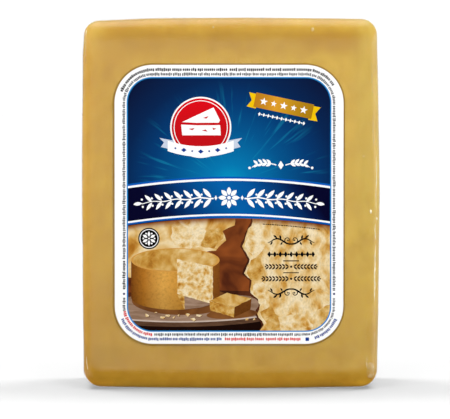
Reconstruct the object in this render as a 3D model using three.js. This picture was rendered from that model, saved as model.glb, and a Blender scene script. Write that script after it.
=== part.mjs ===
// A whole rectangular block of hard cheese, sealed in clear clinging film, with an adhesive label on its front.
// It stands upright on its short bottom edge. Front is towards -Y, up is +Z, millimetres.
// The origin is the middle of the footprint, on the surface the block stands on.

import * as THREE from 'three';

// ---------------------------------------------------------------- driving dimensions, mm
const WIDTH = 160; // across the widest level, at mid-height
const HEIGHT = 198.5; // at mid-width
const DEPTH = 80; // of the block with its film, at its fullest

const SWELL_LEFT = 0.95; // how far the left side swells between its corners
const SWELL_RIGHT = 1.4; // the same, right side
const SWELL_TOP = 0.75;
const SWELL_BOTTOM = 0.8; // the underside stands on this swell, flat in its middle
const SWELL_SIDE_DEPTH = 0.55; // how far the sides draw back from mid-depth to the edges
const CROWN = 1.5; // how far front and back stand out at the middle

const CORNER = { topRight: 7.8, topLeft: 9.2, bottomLeft: 8.4, bottomRight: 10.4 }; // seen from the front
const INNER_CORNER = 4; // corner radius where the edge rounding meets the face

const EDGE_SIDE = { across: 5, deep: 6 }; // rounding from the face to a side: its width on the face, its depth
const EDGE_TOP = { across: 11, deep: 10 };
const EDGE_BOTTOM = { across: 9.5, deep: 10 };

const FOOT_HALF_X = 57; // half length of the flat the block stands on; its depth is what the edge roundings leave

const LABEL_WIDTH = 122.3;
const LABEL_HEIGHT = 149.3;
const LABEL_CORNER = 20.3;
const LABEL_SHIFT_X = -0.95; // from the block's centre line
const LABEL_SHIFT_Z = -0.8; // from the block's mid-height
const LABEL_THICK = 0.4;
const LABEL_GAP = 0.3; // between the label's back and the film

// ---------------------------------------------------------------- mesh fineness
const STEPS_SIDE = 12; // along each upright side of a ring
const STEPS_CORNER = 6; // round each corner
const STEPS_ROUND = 6; // round each edge rounding
const WALL_Y = [-24, 0, 24]; // ring places on the walls, from mid-depth
const FACE_SCALE = [0.95, 0.82, 0.64, 0.44, 0.22]; // rings on the front and back faces
const LABEL_STEPS = { straight: 8, corner: 6, scale: [0.86, 0.62, 0.36] };

// ---------------------------------------------------------------- the block's form
const TOTAL_DEPTH = DEPTH + LABEL_GAP + LABEL_THICK;
const MID_Y = (TOTAL_DEPTH - DEPTH) / 2; // the block sits back by half the label, so that the whole is centred
const MID_Z = HEIGHT / 2;
const HALF_Y = DEPTH / 2 - CROWN; // of the straight body before it swells
const HALF_TOP = HEIGHT / 2 - SWELL_TOP;
const HALF_BOTTOM = HEIGHT / 2 - SWELL_BOTTOM;
const HALF_LEFT = WIDTH / 2 - SWELL_LEFT;
const HALF_RIGHT = WIDTH / 2 - SWELL_RIGHT;

const arch = (t) => Math.max(0, 1 - t * t);

// 1 over the flat of the foot, falling to 0 at the block's sides.
function footShare(x) {
  const t = (Math.abs(x) - FOOT_HALF_X) / (WIDTH / 2 - FOOT_HALF_X);
  return 1 - Math.min(1, Math.max(0, t));
}

// Carries a point of the straight-sided body to the swollen one. y and z are measured from the body's middle.
function swell([x, y, z]) {
  const u = x > 0 ? x / HALF_RIGHT : x / HALF_LEFT;
  const w = z > 0 ? z / HALF_TOP : z / HALF_BOTTOM;
  const v = y / HALF_Y;
  const atSide = Math.abs(u) ** 3;
  const sideSwell = x > 0 ? SWELL_RIGHT : SWELL_LEFT;
  const dx = Math.sign(x) * atSide * (sideSwell * arch(w) - SWELL_SIDE_DEPTH * v * v);
  const dz =
    z > 0
      ? w ** 3 * (SWELL_TOP * arch(u) - SWELL_SIDE_DEPTH * v * v)
      : -(Math.abs(w) ** 3) * SWELL_BOTTOM * footShare(x);
  const dy = v * CROWN * arch(u) * arch(w);
  return [x + dx, y + dy, z + dz];
}

// The place of the front face, film and all, in front of a point on the block.
function faceY(x, z) {
  return MID_Y + swell([x, -HALF_Y, z - MID_Z])[1];
}

// One ring of the straight-sided body, seen from the front, anticlockwise from the middle of the right side's foot.
// k is 0 at the walls and 1 where the edge rounding meets the face. Each point is [x, z, depth of the rounding there].
function ring(k) {
  const right = HALF_RIGHT - EDGE_SIDE.across * k;
  const left = -(HALF_LEFT - EDGE_SIDE.across * k);
  const top = HALF_TOP - EDGE_TOP.across * k;
  const bottom = -(HALF_BOTTOM - EDGE_BOTTOM.across * k);
  const r = (corner) => corner + (INNER_CORNER - corner) * k;
  const points = [];
  const side = (a, b, z0, z1, deep, stops) => {
    for (const t of stops) points.push([a + (b - a) * t, z0 + (z1 - z0) * t, deep]);
  };
  const corner = (cx, cz, radius, from, deepFrom, deepTo) => {
    for (let i = 0; i < STEPS_CORNER; i++) {
      const t = i / STEPS_CORNER;
      const a = from + (t * Math.PI) / 2;
      const blend = t * t * (3 - 2 * t);
      points.push([
        cx + radius * Math.cos(a),
        cz + radius * Math.sin(a),
        deepFrom + (deepTo - deepFrom) * blend,
      ]);
    }
  };
  const even = Array.from({ length: STEPS_SIDE }, (_, i) => i / STEPS_SIDE);
  const tr = r(CORNER.topRight);
  const tl = r(CORNER.topLeft);
  const bl = r(CORNER.bottomLeft);
  const br = r(CORNER.bottomRight);
  side(right, right, bottom + br, top - tr, EDGE_SIDE.deep, even);
  corner(right - tr, top - tr, tr, 0, EDGE_SIDE.deep, EDGE_TOP.deep);
  side(right - tr, left + tl, top, top, EDGE_TOP.deep, even);
  corner(left + tl, top - tl, tl, Math.PI / 2, EDGE_TOP.deep, EDGE_SIDE.deep);
  side(left, left, top - tl, bottom + bl, EDGE_SIDE.deep, even);
  corner(left + bl, bottom + bl, bl, Math.PI, EDGE_SIDE.deep, EDGE_BOTTOM.deep);
  // The underside has stops at the ends of its flat, so that the flat is exactly flat.
  const x0 = left + bl;
  const x1 = right - br;
  const foot = [x0, -FOOT_HALF_X - 6, -FOOT_HALF_X, FOOT_HALF_X, FOOT_HALF_X + 6];
  side(x0, x1, bottom, bottom, EDGE_BOTTOM.deep, foot.map((x) => (x - x0) / (x1 - x0)));
  corner(right - br, bottom + br, br, -Math.PI / 2, EDGE_BOTTOM.deep, EDGE_SIDE.deep);
  return points;
}

// A closed mesh from a first middle point, rings of equal length and a last middle point.
// The rings run anticlockwise seen from the first point's side.
function closedRings(first, rings, last) {
  const n = rings[0].length;
  const position = [first, ...rings.flat(), last].flat();
  const index = [];
  for (let i = 0; i < n; i++) {
    const j = (i + 1) % n;
    index.push(0, 1 + i, 1 + j);
    for (let r = 0; r + 1 < rings.length; r++) {
      const a = 1 + r * n + i;
      const b = 1 + r * n + j;
      index.push(a, a + n, b + n, a, b + n, b);
    }
    const base = 1 + (rings.length - 1) * n;
    index.push(base + i, base + n, base + j);
  }
  const geometry = new THREE.BufferGeometry();
  geometry.setAttribute('position', new THREE.Float32BufferAttribute(position, 3));
  geometry.setIndex(index);
  geometry.computeVertexNormals();
  return geometry;
}

function blockGeometry() {
  const place = (p) => {
    const [x, y, z] = swell(p);
    return [x, y + MID_Y, Math.max(0, z + MID_Z)];
  };
  const middle = (side) => place([0, side * HALF_Y, 0]);
  const half = (side) => {
    const rows = [];
    const edge = ring(1);
    for (const s of [...FACE_SCALE].reverse()) {
      rows.push(edge.map(([x, z]) => place([x * s, side * HALF_Y, z * s])));
    }
    for (let i = 0; i <= STEPS_ROUND; i++) {
      const a = ((i / STEPS_ROUND) * Math.PI) / 2;
      rows.push(
        ring(1 - Math.sin(a)).map(([x, z, deep]) =>
          place([x, side * (HALF_Y - deep * (1 - Math.cos(a))), z]),
        ),
      );
    }
    return rows;
  };
  const walls = WALL_Y.map((y) => ring(0).map(([x, z]) => place([x, y, z])));
  const rows = [...half(-1), ...walls, ...half(1).reverse()];
  return closedRings(middle(-1), rows, middle(1));
}

// ---------------------------------------------------------------- the label
function roundedOutline(width, height, radius, straight, corner) {
  const points = [];
  const quarter = [
    [width / 2 - radius, height / 2 - radius, 0, 0, 1, height - 2 * radius],
    [-width / 2 + radius, height / 2 - radius, Math.PI / 2, -1, 0, width - 2 * radius],
    [-width / 2 + radius, -height / 2 + radius, Math.PI, 0, -1, height - 2 * radius],
    [width / 2 - radius, -height / 2 + radius, -Math.PI / 2, 1, 0, width - 2 * radius],
  ];
  for (const [cx, cz, from, sx, sz, run] of quarter) {
    const x0 = cx + radius * Math.cos(from);
    const z0 = cz + radius * Math.sin(from);
    for (let i = 0; i < straight; i++) {
      const back = run * (1 - i / straight);
      points.push([x0 - sx * back, z0 - sz * back]);
    }
    for (let i = 0; i < corner; i++) {
      const a = from + ((i / corner) * Math.PI) / 2;
      points.push([cx + radius * Math.cos(a), cz + radius * Math.sin(a)]);
    }
  }
  return points;
}

function labelGeometry() {
  const { straight, corner, scale } = LABEL_STEPS;
  const outline = roundedOutline(LABEL_WIDTH, LABEL_HEIGHT, LABEL_CORNER, straight, corner);
  const cz = MID_Z + LABEL_SHIFT_Z;
  const at = (s, off) =>
    outline.map(([x, z]) => {
      const px = LABEL_SHIFT_X + x * s;
      const pz = cz + z * s;
      return [px, faceY(px, pz) - off, pz];
    });
  const centre = (off) => [LABEL_SHIFT_X, faceY(LABEL_SHIFT_X, cz) - off, cz];
  const inner = [...scale].reverse();
  const front = LABEL_GAP + LABEL_THICK;
  const rows = [
    ...inner.map((s) => at(s, front)),
    at(1, front),
    at(1, LABEL_GAP),
    ...scale.map((s) => at(s, LABEL_GAP)),
  ];
  return closedRings(centre(front), rows, centre(LABEL_GAP));
}

// ---------------------------------------------------------------- scene graph
const film = new THREE.MeshStandardMaterial({ color: 0xcb9e50, roughness: 0.28, metalness: 0 });
const paper = new THREE.MeshStandardMaterial({ color: 0x1f5fa8, roughness: 0.35, metalness: 0 });

const block = new THREE.Mesh(blockGeometry(), film);
block.name = 'cheese_block';

const label = new THREE.Mesh(labelGeometry(), paper);
label.name = 'label';

const cheese = new THREE.Group();
cheese.add(block, label);

export default cheese;
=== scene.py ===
"""The looks of a whole block of hard cheese, sealed in clear clinging film, with a printed label on its front.

Lengths are in millimetres until they become a mesh. Front is towards -Y, up is +Z.
"""

import math
import random

import bpy
import numpy as np
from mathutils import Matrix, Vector, noise
from mathutils.bvhtree import BVHTree
from mathutils.geometry import delaunay_2d_cdt


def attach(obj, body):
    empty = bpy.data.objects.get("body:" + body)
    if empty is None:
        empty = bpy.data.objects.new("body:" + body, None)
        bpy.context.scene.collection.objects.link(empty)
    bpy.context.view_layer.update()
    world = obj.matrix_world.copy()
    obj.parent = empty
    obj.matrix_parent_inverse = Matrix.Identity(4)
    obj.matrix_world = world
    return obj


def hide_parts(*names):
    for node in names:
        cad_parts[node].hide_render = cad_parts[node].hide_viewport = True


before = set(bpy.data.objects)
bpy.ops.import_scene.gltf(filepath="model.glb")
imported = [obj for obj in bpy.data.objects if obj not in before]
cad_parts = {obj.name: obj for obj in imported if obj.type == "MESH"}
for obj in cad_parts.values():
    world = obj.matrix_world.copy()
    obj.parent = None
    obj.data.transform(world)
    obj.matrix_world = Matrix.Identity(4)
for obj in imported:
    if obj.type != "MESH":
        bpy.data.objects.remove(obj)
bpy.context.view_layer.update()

MM = 0.001

# ------------------------------------------------------------------ sizes, mm
WIDTH, HEIGHT, DEPTH = 160.0, 198.5, 80.0
TOTAL_DEPTH = 80.7
MID_Y = (TOTAL_DEPTH - DEPTH) / 2
MID_Z = HEIGHT / 2
SWELL_LEFT, SWELL_RIGHT, SWELL_TOP, SWELL_BOTTOM = 1.0, 1.6, 0.75, 1.2
SWELL_SIDE_DEPTH, CROWN = 0.55, 1.5
SWELL_RISE = 1.3  # how full the sides swell between the corners
SWELL_LEFT_TOP, SWELL_RIGHT_FOOT = 0.78, 0.84  # the share of the swell that is lost by these two corners
DROOP, DROOP_FROM, DROOP_OVER = 0.95, 30.0, 50.0  # the top edge sinks towards its left corner
LEAN, LEAN_FROM, LEAN_OVER = 0.55, 78.0, 14.0  # and the left edge leans in there
HALF_Y = DEPTH / 2 - CROWN
HALF_TOP, HALF_BOTTOM = HEIGHT / 2 - SWELL_TOP, HEIGHT / 2 - SWELL_BOTTOM
HALF_LEFT, HALF_RIGHT = WIDTH / 2 - SWELL_LEFT, WIDTH / 2 - SWELL_RIGHT
CORNER = {"tr": 8.6, "tl": 8.2, "bl": 9.6, "br": 9.2}
INNER_CORNER = 4.5
# The rounding from a face to each wall: width on the face, depth, and how long its lead-in is.
EDGE = {
    "left": (7.0, 6.5, 1.30),
    "right": (8.0, 7.0, 1.30),
    "top": (16.0, 10.5, 1.35),
    "bottom": (11.0, 7.0, 1.18),
}

LABEL_W, LABEL_H, LABEL_R = 121.45, 148.25, 20.2
LABEL_X, LABEL_Z = -0.98, MID_Z - 0.5


# ------------------------------------------------------------------ the block's form
def arch(t):
    return np.maximum(0.0, 1.0 - t * t)


def smooth(t):
    t = np.clip(t, 0.0, 1.0)
    return t * t * (3 - 2 * t)


def swell(p):
    """The straight-sided body's points carried to the swollen one; y and z are from the body's middle."""
    x, y, z = p[:, 0], p[:, 1], p[:, 2]
    u = np.where(x > 0, x / HALF_RIGHT, x / HALF_LEFT)
    w = np.where(z > 0, z / HALF_TOP, z / HALF_BOTTOM)
    v = y / HALF_Y
    side = np.where(x > 0, SWELL_RIGHT, SWELL_LEFT)
    lost = np.where(
        x > 0, np.where(w < 0, SWELL_RIGHT_FOOT, 1.0), np.where(w > 0, SWELL_LEFT_TOP, 1.0)
    )
    tent = 1.0 - lost * np.minimum(1.0, np.abs(w)) ** SWELL_RISE
    dx = np.sign(x) * np.abs(u) ** 3 * (side * tent - SWELL_SIDE_DEPTH * v * v)
    dx = dx + np.where(x < 0, np.abs(u) ** 6 * LEAN * smooth((z - LEAN_FROM) / LEAN_OVER), 0.0)
    dz = np.where(
        z > 0,
        np.abs(w) ** 3 * (SWELL_TOP * arch(u) - SWELL_SIDE_DEPTH * v * v)
        - np.abs(w) ** 6 * DROOP * smooth((-x - DROOP_FROM) / DROOP_OVER),
        -(np.abs(w) ** 3) * SWELL_BOTTOM * arch(x / (WIDTH / 2)),
    )
    dy = v * CROWN * arch(u) * arch(w)
    return np.stack([x + dx, y + dy, z + dz], 1)


def ring(a, nx, nz, nc):
    """One ring, seen from the front, anticlockwise from the middle of the bottom right corner.

    a is 0 at the face and 90 degrees at the walls. Returns x, z and the depth of the rounding.
    """
    s = 1 - math.sin(a)
    k = {n: s**p for n, (_, _, p) in EDGE.items()}
    right = HALF_RIGHT - EDGE["right"][0] * k["right"]
    left = -(HALF_LEFT - EDGE["left"][0] * k["left"])
    top = HALF_TOP - EDGE["top"][0] * k["top"]
    bottom = -(HALF_BOTTOM - EDGE["bottom"][0] * k["bottom"])
    r = {n: c + (INNER_CORNER - c) * s for n, c in CORNER.items()}
    deep = {n: d for n, (_, d, _) in EDGE.items()}

    def line(x0, z0, x1, z1, n, d):
        t = np.arange(n) / n
        return np.stack([x0 + (x1 - x0) * t, z0 + (z1 - z0) * t, np.full(n, d)], 1)

    def arc(cx, cz, rr, start, t0, t1, d0, d1, n):
        t = t0 + (t1 - t0) * np.arange(n) / n
        ang = start + t * math.pi / 2
        return np.stack(
            [cx + rr * np.cos(ang), cz + rr * np.sin(ang), d0 + (d1 - d0) * smooth(t)],
            1,
        )

    h = nc // 2
    br = (right - r["br"], bottom + r["br"], r["br"], -math.pi / 2)
    tr = (right - r["tr"], top - r["tr"], r["tr"], 0.0)
    tl = (left + r["tl"], top - r["tl"], r["tl"], math.pi / 2)
    bl = (left + r["bl"], bottom + r["bl"], r["bl"], math.pi)
    rows = [
        arc(*br, 0.5, 1.0, deep["bottom"], deep["right"], h),
        line(right, br[1], right, tr[1], nz, deep["right"]),
        arc(*tr, 0.0, 1.0, deep["right"], deep["top"], nc),
        line(tr[0], top, tl[0], top, nx, deep["top"]),
        arc(*tl, 0.0, 1.0, deep["top"], deep["left"], nc),
        line(left, tl[1], left, bl[1], nz, deep["left"]),
        arc(*bl, 0.0, 1.0, deep["left"], deep["bottom"], nc),
        line(bl[0], bottom, br[0], bottom, nx, deep["bottom"]),
        arc(*br, 0.0, 0.5, deep["bottom"], deep["right"], h),
    ]
    return np.concatenate(rows)


def body_mesh(nx, nz, nc, rounds, walls):
    """Points of the block's outside, swollen, in the row frame in mm, and its quads with their faces out."""
    n = 2 * (nx + nz) + 4 * nc
    points, rings = [], []
    total = 0

    def add(block):
        nonlocal total
        points.append(block)
        total += len(block)
        return np.arange(total - len(block), total)

    angles = np.linspace(0, math.pi / 2, rounds + 1)
    made = [ring(a, nx, nz, nc) for a in angles]
    for a, q in zip(angles, made):
        y = -(HALF_Y - q[:, 2] * (1 - math.cos(a)))
        rings.append(add(np.stack([q[:, 0], y, q[:, 1]], 1)))
    last = made[-1]
    front, back = -(HALF_Y - last[:, 2]), HALF_Y - last[:, 2]
    for i in range(1, walls):
        t = i / walls
        rings.append(
            add(np.stack([last[:, 0], front + (back - front) * t, last[:, 1]], 1))
        )
    for a, q in zip(angles[::-1], made[::-1]):
        y = HALF_Y - q[:, 2] * (1 - math.cos(a))
        rings.append(add(np.stack([q[:, 0], y, q[:, 1]], 1)))
    quads = []
    j = (np.arange(n) + 1) % n
    for a, b in zip(rings[:-1], rings[1:]):
        quads.append(np.stack([a, b, b[j], a[j]], 1))

    # The flat faces are a grid laid between the four sides of the innermost ring.
    c1, c2, c3 = nc + nz, 2 * nc + nz + nx, 3 * nc + 2 * nz + nx
    for r, side in ((rings[0], -1), (rings[-1], 1)):
        q = np.concatenate(points)[r]
        idx = {
            "right": np.arange(0, c1 + 1),
            "top": np.arange(c2, c1 - 1, -1),
            "left": np.arange(c3, c2 - 1, -1),
            "bottom": np.arange(c3, n + 1) % n,
        }
        cols, rows_n = len(idx["top"]), len(idx["left"])
        u = np.linspace(0, 1, cols)[None, :, None]
        v = np.linspace(0, 1, rows_n)[:, None, None]
        b, t = q[idx["bottom"]][None], q[idx["top"]][None]
        le, ri = q[idx["left"]][:, None], q[idx["right"]][:, None]
        c00, c10, c01, c11 = b[0, 0], b[0, -1], t[0, 0], t[0, -1]
        coons = (
            (1 - v) * b
            + v * t
            + (1 - u) * le
            + u * ri
            - (
                (1 - u) * (1 - v) * c00
                + u * (1 - v) * c10
                + (1 - u) * v * c01
                + u * v * c11
            )
        )
        grid = np.zeros((rows_n, cols), int)
        grid[0], grid[-1] = r[idx["bottom"]], r[idx["top"]]
        grid[:, 0], grid[:, -1] = r[idx["left"]], r[idx["right"]]
        inner = coons[1:-1, 1:-1].reshape(-1, 3)
        grid[1:-1, 1:-1] = add(inner).reshape(rows_n - 2, cols - 2)
        f = np.stack([grid[:-1, :-1], grid[:-1, 1:], grid[1:, 1:], grid[1:, :-1]], -1)
        f = f.reshape(-1, 4)
        quads.append(f if side < 0 else f[:, ::-1])
    p = swell(np.concatenate(points))
    p[:, 1] += MID_Y
    p[:, 2] += MID_Z
    return p, np.concatenate(quads)


def normals_of(p, quads):
    d1, d2 = p[quads[:, 2]] - p[quads[:, 0]], p[quads[:, 3]] - p[quads[:, 1]]
    f = np.cross(d1, d2)
    out = np.zeros_like(p)
    for c in range(4):
        np.add.at(out, quads[:, c], f)
    return out / np.linalg.norm(out, axis=1)[:, None]


def noise_at(p, scale, seed, octaves=1):
    """Smooth noise of about -1 to 1 at each point; scale is the size of its lumps in mm."""
    out = np.zeros(len(p))
    amp = 1.0
    shift = np.array([13.7 * seed, -7.1 * seed, 3.3 * seed])
    for _ in range(octaves):
        q = p / scale + shift
        out += amp * np.array([noise.noise(v) for v in q.tolist()])
        amp *= 0.5
        scale *= 0.5
    return out


def mesh_object(name, p, faces, materials, index=None, sharp=False):
    """A mesh object in metres from points in mm."""
    me = bpy.data.meshes.new(name)
    me.from_pydata((p * MM).tolist(), [], [list(map(int, f)) for f in faces])
    for m in materials:
        me.materials.append(m)
    if index is not None:
        me.polygons.foreach_set("material_index", np.asarray(index, np.int32))
    if not sharp:
        me.polygons.foreach_set("use_smooth", [True] * len(me.polygons))
    me.validate()
    me.update()
    ob = bpy.data.objects.new(name, me)
    bpy.context.scene.collection.objects.link(ob)
    return ob


# ------------------------------------------------------------------ small helpers for node materials
def srgb(*c):
    """Linear colour from sRGB numbers of 0 to 255."""
    out = []
    for v in c[:3]:
        v /= 255
        out.append(v / 12.92 if v <= 0.04045 else ((v + 0.055) / 1.055) ** 2.4)
    return (*out, 1.0)


class Tree:
    def __init__(self, name, world=False):
        if world:
            self.owner = bpy.data.worlds.new(name)
        else:
            self.owner = bpy.data.materials.new(name)
        self.owner.use_nodes = True
        self.nt = self.owner.node_tree
        self.nt.nodes.clear()

    def node(self, kind, **given):
        n = self.nt.nodes.new(kind)
        inputs = given.pop("inputs", {})
        for k, v in given.items():
            setattr(n, k, v)
        for k, v in inputs.items():
            self.put(n.inputs[k], v)
        return n

    def put(self, socket, v):
        if isinstance(v, bpy.types.NodeSocket):
            self.nt.links.new(v, socket)
        elif v is not None:
            socket.default_value = v

    def math(self, op, a, b=None, c=None, clamp=False):
        n = self.node("ShaderNodeMath", operation=op, use_clamp=clamp)
        for i, v in enumerate((a, b, c)):
            if v is not None:
                self.put(n.inputs[i], v)
        return n.outputs[0]

    def mix(self, factor, a, b, blend="MIX"):
        n = self.node("ShaderNodeMix", data_type="RGBA", blend_type=blend)
        self.put(n.inputs[0], factor)
        self.put(n.inputs[6], a)
        self.put(n.inputs[7], b)
        return n.outputs[2]

    def ramp(self, value, stops, interpolation="LINEAR"):
        n = self.node("ShaderNodeValToRGB")
        self.put(n.inputs[0], value)
        cr = n.color_ramp
        cr.interpolation = interpolation
        while len(cr.elements) < len(stops):
            cr.elements.new(0.5)
        for e, (at, colour) in zip(cr.elements, stops):
            e.position = at
            e.color = (
                colour if hasattr(colour, "__len__") else (colour, colour, colour, 1)
            )
        return n.outputs[0]

    def coords(self, scale=1000.0, offset=(0, 0, 0)):
        """Object coordinates in mm."""
        tc = self.node("ShaderNodeTexCoord")
        m = self.node("ShaderNodeMapping")
        self.nt.links.new(tc.outputs["Object"], m.inputs[0])
        m.inputs["Scale"].default_value = (
            (scale,) * 3 if not hasattr(scale, "__len__") else scale
        )
        m.inputs["Location"].default_value = offset
        return m.outputs[0]

    def noise(self, vector, scale, detail=2.0, rough=0.5, distort=0.0):
        n = self.node(
            "ShaderNodeTexNoise",
            inputs={
                "Vector": vector,
                "Scale": scale,
                "Detail": detail,
                "Roughness": rough,
                "Distortion": distort,
            },
        )
        return n.outputs["Fac"]

    def span(self, value, lo, hi, a=0.0, b=1.0):
        n = self.node("ShaderNodeMapRange", interpolation_type="SMOOTHSTEP")
        for i, v in enumerate((value, lo, hi, a, b)):
            self.put(n.inputs[i], v)
        return n.outputs[0]

    def bump(self, height, strength, distance):
        n = self.node(
            "ShaderNodeBump",
            inputs={"Height": height, "Strength": strength, "Distance": distance},
        )
        return n.outputs[0]

    def principled(self, **inputs):
        n = self.node("ShaderNodeBsdfPrincipled")
        for k, v in inputs.items():
            self.put(n.inputs[k], v)
        return n

    def out(self, shader):
        o = self.node(
            "ShaderNodeOutputWorld"
            if isinstance(self.owner, bpy.types.World)
            else "ShaderNodeOutputMaterial"
        )
        self.nt.links.new(shader, o.inputs["Surface"])
        return self.owner


# ------------------------------------------------------------------ materials of the block
def cheese_material():
    t = Tree("hard_cheese")
    v = t.coords()
    sep = t.node("ShaderNodeSeparateXYZ")
    t.nt.links.new(v, sep.inputs[0])
    x, _, z = sep.outputs
    mid = t.noise(v, 0.07, 3.0, 0.55, 0.4)
    fine = t.noise(v, 0.9, 2.0, 0.6)
    # paler and yellower to the right; darker and browner low down, a painted shade of how the light falls from above
    colour = t.ramp(
        t.math("MULTIPLY_ADD", x, 1 / 160, 0.5),
        [(0.05, (0.545, 0.303, 0.026, 1)), (0.95, (0.590, 0.360, 0.033, 1))],
    )
    level = t.ramp(
        t.math("MULTIPLY", z, 1 / 200),
        [
            (0.05, (0.87, 0.83, 0.70, 1)),
            (0.11, (0.865, 0.845, 0.70, 1)),
            (0.25, (0.94, 0.93, 0.79, 1)),
            (0.55, (1.05, 1.09, 1.18, 1)),
            (0.95, (0.98, 0.97, 0.90, 1)),
        ],
    )
    colour = t.mix(1.0, colour, level, "MULTIPLY")
    # painted shade just under the top edge, away from the corners
    band = t.math("MULTIPLY", t.span(z, 173, 186), t.span(z, 188, 194.5, 1.0, 0.0))
    band = t.math("MULTIPLY", band, t.math("MULTIPLY", t.span(x, -69, -53), t.span(x, 63, 75, 1.0, 0.0)))
    shade = t.mix(t.span(x, 20, 60), (0.84, 0.80, 0.64, 1), (0.77, 0.67, 0.34, 1))
    colour = t.mix(band, colour, t.mix(1.0, colour, shade, "MULTIPLY"))
    # painted light: paler along the right edge, up to two thirds of its height
    right = t.math("MULTIPLY", t.span(x, 60, 73), t.span(z, 0, 130))
    colour = t.mix(right, colour, t.mix(1.0, colour, (0.95, 1.01, 1.20, 1), "MULTIPLY"))
    # painted light: lighter along the left rounding
    left = t.span(x, -78.5, -71, 1.0, 0.0)
    colour = t.mix(left, colour, t.mix(1.0, colour, (1.12, 1.08, 1.02, 1), "MULTIPLY"))
    # painted reflection: the film's pale, bluish sheen on the two top corners
    corner = t.math("MULTIPLY", t.span(t.math("ABSOLUTE", x), 63, 76), t.span(z, 176, 192))
    corner_reflection_tint = t.mix(t.span(x, -20, 20), (1.15, 1.32, 2.6, 1), (1.12, 1.19, 1.9, 1))
    colour = t.mix(corner, colour, t.mix(1.0, colour, corner_reflection_tint, "MULTIPLY"))
    low = t.math("MULTIPLY", t.span(x, -64, -48, 1.0, 0.0), t.math("MULTIPLY", t.span(z, 10, 14), t.span(z, 20, 27, 1.0, 0.0)))
    colour = t.mix(low, colour, t.mix(1.0, colour, (0.91, 0.92, 0.85, 1), "MULTIPLY"))
    # painted shade on the rounding at the foot: darker and more saturated low down, less of it on the left
    foot = t.ramp(
        t.math("MULTIPLY", z, 1 / 20),
        [
            (0.20, (0.975, 0.875, 0.79, 1)),
            (0.40, (0.955, 0.90, 0.98, 1)),
            (0.50, (0.99, 0.98, 1.22, 1)),
            (0.58, (1.00, 1.00, 1.00, 1)),
        ],
    )
    colour = t.mix(t.span(x, -60, 20, 0.35, 1.0), colour, t.mix(1.0, colour, foot, "MULTIPLY"))
    # painted light under the two ends of the foot, where the rounding turns under
    under = t.math("MULTIPLY", t.span(t.math("ABSOLUTE", x), 54, 68), t.span(z, 2.5, 6.5, 1.0, 0.0))
    colour = t.mix(under, colour, t.mix(1.0, colour, (1.34, 1.34, 1.34, 1), "MULTIPLY"))
    blotch = t.ramp(
        mid, [(0.30, (0.93, 0.90, 0.82, 1)), (0.50, (1, 1, 1, 1)), (0.70, (1.06, 1.09, 1.22, 1))]
    )
    colour = t.mix(1.0, colour, blotch, "MULTIPLY")
    # faint paler patches, drawn out a little upright
    patch = t.noise(t.coords(scale=(1000.0, 1000.0, 620.0)), 0.16, 2.0, 0.5, 0.6)
    patch = t.ramp(patch, [(0.36, (0.965, 0.955, 0.92, 1)), (0.52, (1, 1, 1, 1)), (0.66, (1.03, 1.045, 1.10, 1))])
    colour = t.mix(1.0, colour, patch, "MULTIPLY")
    specks = t.ramp(fine, [(0.0, 0.93), (0.5, 1.0), (1.0, 1.05)])
    colour = t.mix(1.0, colour, specks, "MULTIPLY")
    rough = t.ramp(mid, [(0.3, 0.42), (0.7, 0.55)])
    normal = t.bump(t.noise(v, 0.35, 3.0, 0.6), 0.08, 0.0006)
    bsdf = t.principled(**{"Base Color": colour, "Roughness": rough, "Normal": normal})
    bsdf.inputs["Subsurface Weight"].default_value = 0.35
    bsdf.inputs["Subsurface Radius"].default_value = (1.0, 0.5, 0.16)
    bsdf.inputs["Subsurface Scale"].default_value = 0.006
    bsdf.inputs["Specular IOR Level"].default_value = 0.1
    return t.out(bsdf.outputs[0])


def film_material():
    t = Tree("clear_film")
    v = t.coords()
    clear = t.node("ShaderNodeBsdfTransparent", inputs={"Color": (0.995, 0.99, 0.98, 1)})
    rough = t.ramp(t.noise(v, 0.05, 3.0, 0.6), [(0.3, 0.16), (0.7, 0.30)])
    normal = t.bump(t.noise(v, 0.12, 4.0, 0.55), 0.12, 0.0012)
    shine = t.node(
        "ShaderNodeBsdfGlossy",
        inputs={"Color": (1, 1, 1, 1), "Roughness": rough, "Normal": normal},
    )
    fresnel = t.node("ShaderNodeFresnel", inputs={"IOR": 1.6, "Normal": normal})
    outside = t.math("SUBTRACT", 1.0, t.node("ShaderNodeNewGeometry").outputs["Backfacing"])
    mixed = t.node(
        "ShaderNodeMixShader",
        inputs={
            0: t.math("MULTIPLY", fresnel.outputs[0], outside),
            1: clear.outputs[0],
            2: shine.outputs[0],
        },
    )
    return t.out(mixed.outputs[0])


def fold_highlight_material(name, least, most):
    """The film where it is folded: shinier, and whitish, partly because it lies double and partly as a painted
    highlight for the glints on its folds.
    """
    t = Tree(name)
    v = t.coords()
    outside = t.math("SUBTRACT", 1.0, t.node("ShaderNodeNewGeometry").outputs["Backfacing"])
    highlight_share = t.span(t.noise(v, 0.35, 2.0, 0.6), 0.35, 0.65, least, most)
    clear = t.node("ShaderNodeBsdfTransparent", inputs={"Color": (0.995, 0.99, 0.98, 1)})
    # the whitish part is partly a painted highlight
    white = t.node("ShaderNodeBsdfDiffuse", inputs={"Color": (0.91, 0.85, 0.60, 1)})
    body = t.node(
        "ShaderNodeMixShader",
        inputs={0: t.math("MULTIPLY", highlight_share, outside), 1: clear.outputs[0], 2: white.outputs[0]},
    )
    shine = t.node("ShaderNodeBsdfGlossy", inputs={"Color": (1, 1, 1, 1), "Roughness": 0.15})
    fresnel = t.node("ShaderNodeFresnel", inputs={"IOR": 1.35})
    mixed = t.node(
        "ShaderNodeMixShader",
        inputs={0: t.math("MULTIPLY", fresnel.outputs[0], outside), 1: body.outputs[0], 2: shine.outputs[0]},
    )
    return t.out(mixed.outputs[0])


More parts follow.
